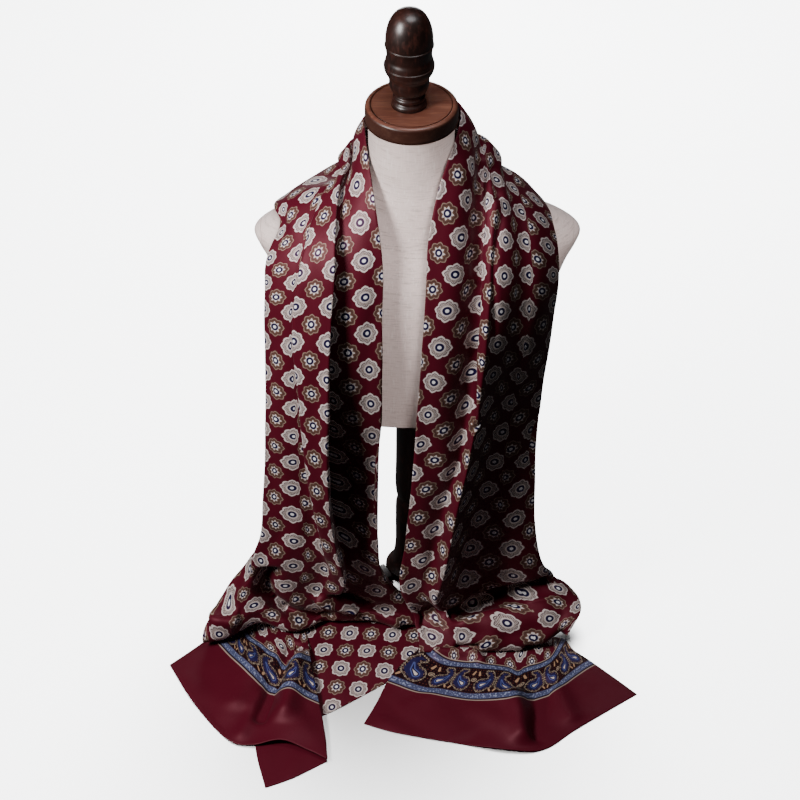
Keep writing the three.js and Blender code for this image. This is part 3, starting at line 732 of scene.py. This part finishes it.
def relaxed(uv, points, rounds=400, stiffness=0.09, bending=0.06, hold=0.008):
    """UV in metres, eased until the cloth's edges and diagonals have nearly their true lengths, so
    that the print doesn't stretch. A weak pull keeps it near where the table puts it, and bending
    keeps its lines from buckling."""
    every = slice(None)
    ahead, behind = slice(1, None), slice(None, -1)
    links = [((behind, every), (ahead, every)), ((every, behind), (every, ahead)),
             ((behind, behind), (ahead, ahead)), ((behind, ahead), (ahead, behind))]
    spans = [np.linalg.norm(points[b] - points[a], axis=-1, keepdims=True) / 1000 for a, b in links]
    start = uv.copy()
    for _ in range(rounds):
        step = (start - uv) * hold
        for (a, b), span in zip(links, spans):
            gap = uv[b] - uv[a]
            long = np.maximum(np.linalg.norm(gap, axis=-1, keepdims=True), 1e-7)
            ease = gap * (1 - span / long) * np.where(long < span, 0.4, 1) * stiffness
            step[a] += ease
            step[b] -= ease
        step[1:-1] += bending * (uv[2:] - 2 * uv[1:-1] + uv[:-2])
        step[:, 1:-1] += bending * (uv[:, 2:] - 2 * uv[:, 1:-1] + uv[:, :-2])
        uv = uv + step
    return uv


def even_stations(first, last, rows):
    """Stations at even steps along the cloth between two stations."""
    fine = np.linspace(first, last, 1200)
    points, marks = bent_line(rib_corners(fine))
    run = lengths(points[:, [np.argmax(marks == 4)]], 0)[:, 0]
    return np.interp(np.linspace(0, run[-1], rows), run, fine)


def hanging(name, first, last, replaces):
    """A half of the hanging scarf, between two stations."""
    station = even_stations(first, last, HANG_ROWS)
    points, marks = bent_line(rib_corners(station))
    across = lengths(points, 1)
    run = lengths(points, 0)
    uv = print_places(station, marks, across, run)
    down = run.mean(1, keepdims=True)
    free = np.clip(np.minimum(station - FREE[0], FREE[1] - station) / 3, 0, 1)[:, None]
    on_form = np.clip(np.minimum(station - ON_FORM[0], ON_FORM[1] - station) / 4, 0, 1)[:, None]
    lift = ripple(across, down + 0 * across, 60, 220, 0.9, seed=len(name)) * free * (1 - 0.8 * on_form)

    def place(at, mark):
        row = np.argmin(abs(station - at))
        return np.interp(mark, marks, across[row]), down[row, 0]

    strokes = [(*place(s0, m0), *place(s1, m1), width, depth)
               for s0, m0, s1, m1, width, depth in HANG_CREASES
               if first <= min(s0, s1) and max(s0, s1) <= last]
    lift = lift + dents(across, down + 0 * across, strokes)
    points = pushed(points + grid_normals(points) * lift[..., None], PUSHES)
    uv = relaxed(uv, points)
    item = cloth_object(name, points, uv)
    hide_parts(*replaces)
    return item


# Creases of the hanging scarf: from (station, mark) to (station, mark), width and depth in mm. The
# marks run over the folds: 0 lip, 2 face, 4 ridge, 7 mid, 9 rim.
HANG_CREASES = [
    # the right roll: a deep slanting crease with the bulge in front of it, and the hollow beside it
    (38.9, 3.7, 37.5, 7.3, 8, -22),
    (37.6, 7.0, 37.2, 8.6, 10, -9),
    (39.7, 3.9, 38.7, 7.2, 13, 8),
    (38.9, 0.9, 38.0, 3.4, 11, -12),
    (40.9, 5.6, 40.2, 7.6, 10, -4),
    (41.2, 3.0, 41.6, 4.9, 6, -10),
    (42.6, 6.3, 42.2, 8.6, 9, -12),
    # the right panel: the narrow valley beside its front fold, and a pleat further out
    (25.2, 3.0, 27.5, 3.0, 5, -9),
    (27.5, 3.0, 29.1, 3.0, 5, -10),
    (29.1, 3.0, 30.8, 3.0, 5, -10),
    (30.8, 3.0, 32.3, 4.0, 5, -9),
    (25.0, 4.2, 26.4, 4.0, 9, -8),
    (26.9, 4.5, 30.3, 4.3, 5, -4),
    # the left roll: the hollow that runs down beside the lobe, and the two bands right of it
    (7.0, 7.1, 4.2, 6.4, 12, -30),
    (4.5, 6.5, 2.9, 4.7, 10, -21),
    (5.7, 5.7, 3.9, 3.2, 10, 12),
    (4.1, 3.4, 2.9, 1.6, 9, 8),
    (6.0, 4.4, 4.7, 2.0, 8, -15),
    (4.2, 7.3, 4.7, 8.5, 14, 12),
]

# Pushes of the hanging scarf, mm: the lobe's lip and the rolls' front edges, and the cloth over the
# left shoulder's outer end and behind the neck.
PUSHES = [
    (-185, -135, 14, 30, 0, 20, 8),
    (-95, -128, 10, 36, 0, 20, 0),
    (-45, -120, 8, 32, 0, 14, 0),
    (-92, 20, 612, 26, 16, -3, -8),
    (-160, -20, 550, 26, 16, 0, 6),
    (-236, -108, 56, 32, 12, 0, -10),
    (-222, -96, 92, 30, 18, 0, -4),
    (206, -138, 8, 30, -13, 14, 10),
]

HANG_ROWS = 290                          # rows of mesh in each half
FREE = 4.5, 42.5                         # stations between which the cloth waves, clear of the table
ON_FORM = 12.5, 32.5                     # stations between which it lies on the form, nearly still


# ---------------------------------------------------------------- the scarf on the table

# Rows of x y z, mm, across the cloth, from where it leaves the rolls to its hem or selvedge.
LYING = {
    "scarf_left_end": """
-230 -102 0.7,  -206 -98 0.7,  -190 -98 0.7, -172 -100 0.7, -150 -104 2.4, -130 -108 2.4
-243 -120 0.7, -214 -122 0.7, -195 -124 0.7,   -174 -128 1, -150 -130 3.9, -124 -134 3.9
-248 -126 0.7, -215 -142 2.4,   -192 -156 7,   -172 -166 7,  -146 -174 17,  -120 -170 14
-252 -130 0.7, -222 -160 2.4,   -192 -190 8,   -170 -206 6,  -146 -214 15,  -110 -226 10
-270 -148 0.7,   -240 -196 2,   -207 -238 5,   -176 -252 5,  -146 -255 15,   -102 -268 8
-291 -168 0.7, -256 -232 0.7, -214 -286 0.7, -184 -296 5.5,  -146 -295 11,    -96 -319 6
""",
    "scarf_left_tail": """
-176 -262 0.7, -140 -258 0.7, -102 -264 0.7
-181 -298 0.7, -140 -300 0.7,  -98 -292 0.7
-167 -357 0.7, -136 -343 0.7,  -97 -318 0.7
""",
    "scarf_left_flat": """
 -140 -96 0.7,   -80 -92 0.7,   12 -84 0.7
-140 -134 0.7,  -88 -128 0.9,  18 -116 0.7
-146 -186 0.7,    -92 -168 4,  10 -146 0.7
-152 -226 0.7, -100 -206 2.5, -12 -175 0.7
-120 -240 0.7, -101 -247 0.7, -31 -199 0.7
""",
    "scarf_right_end": """
 12 -116 2.4,  46 -120 0.7, 88 -120 0.7, 122 -120 0.7, 146 -120 0.7, 168 -120 0.7, 190 -126 0.7
 12 -140 2.4,  44 -152 0.7, 86 -156 0.7, 121 -158 0.7, 147 -158 0.7, 172 -150 0.7, 198 -142 0.7
 -4 -160 2.4,    34 -178 3,   80 -184 4,   118 -188 5,   148 -186 2,   174 -172 3, 206 -150 0.7
-25 -191 2.2,    14 -208 3,   66 -220 5,  108 -230 10,   150 -222 2,   180 -201 3, 219 -162 0.7
-40 -228 0.7,    -4 -244 2,   62 -256 2,   114 -266 9, 153 -258 1.5,   190 -232 2, 245 -188 0.7
-55 -261 0.7, -14 -276 0.7, 58 -292 0.7,   118 -304 5, 157 -300 0.7, 199 -267 0.7, 271 -215 0.7
""",
}

LYING_WAVES = 0.6                        # height of the low waves of what lies, mm
LOWEST = 0.75                            # its middle surface keeps this far above the table, mm


def lying(name, uv_of, strokes):
    """A part that lies on the table: Catmull-Rom both ways through its rows, with creases."""
    rows = np.array([[place.split() for place in line.split(",")]
                     for line in LYING[name].split("\n")[1:-1]], float)
    down = np.linspace(0, len(rows) - 1, 14 * (len(rows) - 1) + 1)
    across = np.linspace(0, len(rows[0]) - 1, 14 * (len(rows[0]) - 1) + 1)
    points = smooth_rows(rows, down)
    points = np.moveaxis(smooth_rows(np.moveaxis(points, 1, 0), across), 0, 1).copy()
    x, y = points[..., 0], points[..., 1]
    edge = np.clip(np.minimum(across, across[-1] - across) * 2, 0, 1)
    inside = edge[None, :] * np.clip(down * 1.5, 0, 1)[:, None]
    lift = dents(x, y, strokes) + ripple(x, y, 70, 70, LYING_WAVES, seed=len(strokes)) * inside
    points[..., 2] = np.maximum(points[..., 2] + lift * inside, LOWEST)
    item = cloth_object(name + "_cloth", points, uv_of(points))
    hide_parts(name)
    return item


# Creases of the two hem ends: x0 y0 x1 y1 width depth, mm.
LEFT_END_CREASES = [
    (-140, -138, -162, -206, 9, -16),
    (-160, -200, -178, -262, 9, -9),
    (-132, -160, -150, -262, 13, 9),
    (-192, -160, -206, -240, 18, 5),
    (-176, -215, -200, -285, 9, 4),
]
RIGHT_END_CREASES = [
    (160, -196, 147, -286, 7, -9),
    (124, -214, 132, -292, 13, 11),
    (174, -204, 192, -258, 12, 4),
    (28, -150, 80, -150, 8, 9),
    (80, -150, 88, -167, 7, 7),
    (20, -215, 60, -285, 26, 3),
]


NEAR_STRIPE, FAR_STRIPE = 71, 128        # the middles of the two stripes, mm of cloth from the hem
# The straight distance from the hem, mm, at which each column of a hem end meets the middles of the
# near and the far stripe. It differs from the cloth's own where creases hide cloth.
LEFT_STRIPES = [72, 94, 106, 94, 80, 90], [130, 140, 165, 150, 122, 150]
RIGHT_STRIPES = [77, 73, 72, 80, 84, 70, 73], [143, 126, 123, 130, 126, 112, 122]


def from_hem(points, stripes):
    """UV in metres of a hem end: V is the distance from the hem in the cloth, U runs along it."""
    run = lengths(points, 0)
    away = run[-1] - run
    column_at = np.linspace(0, len(stripes[0]) - 1, points.shape[1])
    near, far = (smooth_rows(stripe, column_at) for stripe in stripes)
    v = np.where(away < near, away * NEAR_STRIPE / near, np.where(
        away < far, NEAR_STRIPE + (away - near) * (FAR_STRIPE - NEAR_STRIPE) / (far - near),
        FAR_STRIPE + away - far))
    u = lengths(points, 1)[-1]
    return np.stack([u[None, :] + 0 * v, v], -1) / 1000


PLAIN_SHARE = 0.55


def plain_hem(points):
    """UV of the folded corner. V is drawn in by PLAIN_SHARE, so that it lies in the plain band."""
    run = lengths(points, 0)
    u = lengths(points, 1)[-1]
    return np.stack([u[None, :] + 0 * run, (run[-1] - run) * PLAIN_SHARE], -1) / 1000


# Repeats of the print for each mm of x and y on the flat stretch, and where it starts.
FLAT_PRINT = [(0.01802, -0.01958, 18.061), (-0.01973, -0.01356, 16.964)]


def flat_lattice(points):
    """UV of the flat stretch: its print runs askew on the table, turned by about 40 degrees."""
    x, y = points[..., 0], points[..., 1]
    return np.stack([for_x * x + for_y * y + start for for_x, for_y, start in FLAT_PRINT], -1) * REPEAT


# ---------------------------------------------------------------- the dress form

BUST_RINGS = table("""
    z half front back power
  313  138    86   80   2.4
  345  140    89   82   2.4
  385  144    91   85   2.4
  430  150    92   88   2.4
  475  158    90   88   2.3
  505  168    86   84   2.1
  522  177    81   80  1.95
  535  181    76   76  1.85
  545  172    71   72   1.8
  554  152    67   68  1.75
  564  128    64   64   1.7
  576  106    61   61  1.65
  590   86    58   58  1.65
  603   70    55   55  1.75
  618   55    51   51   1.9
  640   48    48   48     2
  660 46.5  46.5 46.5     2
680.7 47.5  47.5 47.5     2
""")
BUST_SHIFT = 7                           # the shoulders sit this far to the right of the neck axis
ARMHOLE_TILT = math.radians(9)           # the armhole's plane leans in downwards
ARMHOLE_REACH, ARMHOLE_HEIGHT = 171, 528  # a point of that plane, from the shoulders' centre


def bust_points(levels=150, sides=144):
    """Level superellipse rings, smooth between the rows of the table."""
    place = np.linspace(0, len(BUST_RINGS["z"]) - 1, levels)
    z, half, front, back, power = (smooth_rows(BUST_RINGS[name], place)[:, None]
                                   for name in ("z", "half", "front", "back", "power"))
    angle = np.linspace(0, 2 * math.pi, sides, endpoint=False)[None, :]

    def swell(value):
        return np.sign(value) * np.abs(value) ** (2 / power)

    shift = BUST_SHIFT * np.clip((640 - z) / 50, 0, 1)
    x = shift + half * swell(np.cos(angle))
    y = np.where(np.sin(angle) < 0, front, back) * swell(np.sin(angle))
    return np.stack([x, y, z + 0 * angle], -1)


def cut(item, point, normal, keep_outer):
    """Cuts a closed mesh at a plane and closes it there. Keeps the side that the normal points to,
    or the other."""
    shape = bmesh.new()
    shape.from_mesh(item.data)
    bmesh.ops.bisect_plane(shape, geom=shape.verts[:] + shape.edges[:] + shape.faces[:], dist=1e-6,
                           plane_co=point, plane_no=normal,
                           clear_outer=not keep_outer, clear_inner=keep_outer)
    rim = [edge for edge in shape.edges if edge.is_boundary]
    bmesh.ops.edgenet_fill(shape, edges=rim)
    bmesh.ops.recalc_face_normals(shape, faces=shape.faces[:])
    shape.to_mesh(item.data)
    shape.free()


def bust():
    """The bust with flat armholes, and a cover plate on each, all from the same rings."""
    points = bust_points()
    levels, sides = points.shape[:2]
    faces = grid_faces(levels, sides, wrap=True)
    faces += [list(range(sides))[::-1], [(levels - 1) * sides + k for k in range(sides)]]
    pieces = []
    for name, side, outer in (("bust", 0, False), ("armhole_plate_left", -1, True),
                              ("armhole_plate_right", 1, True)):
        item = add_object(name + "_form", points.reshape(-1, 3), faces, LINEN)
        for way in ((-1, 1) if side == 0 else (side,)):
            normal = (way * math.cos(ARMHOLE_TILT), 0, -math.sin(ARMHOLE_TILT))
            gap = 0.3 if outer else 0
            place = np.array([BUST_SHIFT + way * (ARMHOLE_REACH + gap), 0, ARMHOLE_HEIGHT])
            cut(item, tuple((place + AXIS) / 1000), normal, outer)
        bevel(item, 0.0012)
        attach(item, "root")
        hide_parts(name)
        pieces.append(item)
    return pieces


def turned(name, profile, base, material, shift=0.0, sides=96, steps=7):
    """A turned piece. The profile is (radius, height) pairs from axis to axis; a pair given twice
    running is a sharp corner, and the rest are joined by a smooth curve."""
    rows = np.array(profile, float)
    line = smooth_rows(rows, np.linspace(0, len(rows) - 1, steps * (len(rows) - 1) + 1))
    line[:, 0] = np.maximum(line[:, 0], 0)
    keep = np.r_[True, np.linalg.norm(np.diff(line, axis=0), axis=1) > 0.02]
    line = line[keep]
    inner = line[1:-1]
    angle = np.linspace(0, 2 * math.pi, sides, endpoint=False)
    ring = np.stack([np.outer(inner[:, 0], np.cos(angle)) + shift, np.outer(inner[:, 0], np.sin(angle)),
                     np.repeat(inner[:, 1:], sides, 1) + base], -1)
    points = ring.reshape(-1, 3).tolist() + [[shift, 0, base + line[k, 1]] for k in (0, -1)]
    faces = grid_faces(len(inner), sides, wrap=True)
    last = (len(inner) - 1) * sides
    bottom, top = len(points) - 2, len(points) - 1
    faces += [[bottom, (k + 1) % sides, k] for k in range(sides)]
    faces += [[top, last + k, last + (k + 1) % sides] for k in range(sides)]
    item = add_object(name + "_turned", points, faces, material)
    item.data.set_sharp_from_angle(angle=math.radians(50))
    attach(item, "root")
    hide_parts(name)
    return item


def corner(r, z):
    return [(r, z), (r, z)]


def wooden_parts():
    """The neck cap, the finial, the pole and the three toes."""
    r, t = 50, 19
    turned("neck_cap", [
        (0, 0), *corner(r - 3, 0), (r - 1, 0.8), (r, 3), (r, t - 4.5), (r - 0.8, t - 1.8),
        (r - 2.8, t - 0.3), (r - 4.8, t), *corner(r - 5.6, t - 0.4), *corner(r - 5.9, t - 1.8),
        *corner(r - 7.3, t - 1.8), (r - 7.6, t - 0.5), (r - 9, t - 0.5), (20, t - 0.5), (0, t - 0.5),
    ], 700 - t, WOOD_CAP)
    h = 116
    turned("finial", [
        (0, 0), *corner(18, 0), (18.8, 1.6), (18.6, 4), (16.6, 6.5), (16.6, 7.6), (17.6, 9.8),
        (17.2, 12), (15.4, 14), (16.2, 16), (19.2, 19.5), (21.2, 25), (21.6, 30), (21.4, 34),
        (22.4, 37), (25.4, 42), (26.7, 46), (27, 49.4), (26.9, 50.4), (26.1, 50.9), (26, 52),
        (25.4, 56), (24.1, 60), (24.2, 64), (24.7, 69), (25.1, 72.6), (26, 73.4), (26, 74.6),
        (25.3, 75.4), (25.4, 78), (24.8, 88), (21.8, 100), (15.8, h - 6), (8, h - 1.4), (0, h),
    ], 699.8, WOOD, shift=-2.5)
    r, f, top = 17, 30, 312.7
    turned("pole", [
        (0, 0), *corner(f, 0), (f, 2), (f, 7.5), (f - 2, 10), (f - 7.5, 17), (r + 3.2, 27),
        (r + 1, 45), (r + 0.7, 60), (r + 0.7, 90), (r + 0.5, 112), (r - 0.6, 120), (r - 2, 126),
        (r - 0.4, 132), (r + 1, 150), (r + 0.4, 180), (r, 230), *corner(r, top - 10),
        *corner(r + 16, top - 6), (r + 18, top - 4), (r + 18, top - 2), *corner(r + 18, top),
        (0, top),
    ], 0, WOOD)
    for name, way in (("toe_back", 90), ("toe_left", 210), ("toe_right", 330)):
        tip = 13 * 0.8
        bend = np.radians(np.linspace(-90, 90, 15))
        outline = np.array([(30.3, -13), *zip(120 - tip + tip * np.cos(bend), tip * np.sin(bend)),
                            (30.3, 13)])
        turn = math.radians(way)
        flat = outline @ np.array([[math.cos(turn), math.sin(turn)], [-math.sin(turn), math.cos(turn)]])
        n = len(flat)
        points = [(*p, 0.0) for p in flat.tolist()] + [(*p, 10.0) for p in flat.tolist()]
        faces = [list(range(n))[::-1], list(range(n, 2 * n))]
        faces += [[k, (k + 1) % n, n + (k + 1) % n, n + k] for k in range(n)]
        item = add_object(name + "_bar", points, faces, WOOD, smooth=True)
        bevel(item, 0.0018, angle=40)
        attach(item, "root")
        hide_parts(name)


linen_pieces = bust()
wooden_parts()

hanging("scarf_left_half", 0, 21.5, ["scarf_left_roll", "scarf_left_hang", "scarf_neck"])
hanging("scarf_right_half", 21.5, 44, ["scarf_right_hang", "scarf_right_roll"])
lying("scarf_left_end", partial(from_hem, stripes=LEFT_STRIPES), LEFT_END_CREASES)
lying("scarf_left_tail", plain_hem, [])
lying("scarf_left_flat", flat_lattice, [])
lying("scarf_right_end", partial(from_hem, stripes=RIGHT_STRIPES), RIGHT_END_CREASES)


# ---------------------------------------------------------------- floor and light

def lit_for_camera(tree, kind, seen, unseen):
    """The colour that a floor or room shows, and the darker one that lights the object, as black
    flags round a studio table do."""
    path = tree.nodes.new("ShaderNodeLightPath")
    mix = tree.nodes.new("ShaderNodeMix")
    mix.data_type = "RGBA"
    mix.inputs[6].default_value = (unseen, unseen, unseen, 1)
    mix.inputs[7].default_value = (seen, seen, seen, 1)
    tree.links.new(path.outputs["Is Camera Ray"], mix.inputs[0])
    tree.links.new(mix.outputs[2], tree.nodes[kind].inputs[0])


def floor_and_light(form):
    """A plain white floor and soft studio lamps: a close one at the upper left, weak ones above
    and behind, one that washes the floor alone, and one that fills the linen form alone."""
    floor = bpy.data.objects.new("floor", bpy.data.meshes.new("floor"))
    side = 12.0
    floor.data.from_pydata([(-side, -side, 0), (side, -side, 0), (side, side, 0), (-side, side, 0)], [],
                           [(0, 1, 2, 3)])
    paper = bpy.data.materials.new("floor")
    paper.use_nodes = True
    paper.node_tree.nodes["Principled BSDF"].inputs["Roughness"].default_value = 0.95
    paper.node_tree.nodes["Principled BSDF"].inputs["Specular IOR Level"].default_value = 0.0
    lit_for_camera(paper.node_tree, "Principled BSDF", 0.95, 0.008)
    floor.data.materials.append(paper)
    bpy.context.scene.collection.objects.link(floor)
    groups = {"floor": [floor], "form": form}
    for name, place, aim, size, power, tint, lit in LAMPS:
        lamp = bpy.data.objects.new(name, bpy.data.lights.new(name, "AREA"))
        lamp.data.shape = "DISK"
        lamp.data.size = size
        lamp.data.energy = power
        lamp.data.color = tint
        lamp.location = place
        lamp.rotation_euler = (Vector(aim) - Vector(place)).to_track_quat("-Z", "Y").to_euler()
        bpy.context.scene.collection.objects.link(lamp)
        if lit in groups:
            lamp.light_linking.receiver_collection = bpy.data.collections.new("lit by " + name)
            for item in groups[lit]:
                lamp.light_linking.receiver_collection.objects.link(item)
    world = bpy.data.worlds.new("room")
    world.use_nodes = True
    lit_for_camera(world.node_tree, "Background", 0.85, 0.008)
    bpy.context.scene.world = world


# name, place, aim, size, watts, tint, and what it lights: all, the floor or the linen form
LAMPS = [
    ("key", (-0.86, -0.46, 1.15), (0.0, 0.06, 0.42), 0.4, 22, (1, 0.985, 0.97), "all"),
    ("top", (0.1, 0.0, 1.5), (0.06, 0.1, 0.5), 0.5, 5, (0.98, 0.98, 1), "all"),
    ("back", (0.0, 1.6, 0.5), (0, 0.1, 0.4), 0.7, 7, (0.98, 0.98, 1), "all"),
    ("floor wash", (0.3, 1.9, 3.6), (0, 0.3, 0), 2.4, 1100, (0.98, 0.99, 1), "floor"),
    ("form fill", (0.5, -1.5, 1.5), (0, 0.1, 0.5), 0.8, 28, (1, 0.95, 0.93), "form"),
]
floor_and_light(linen_pieces)
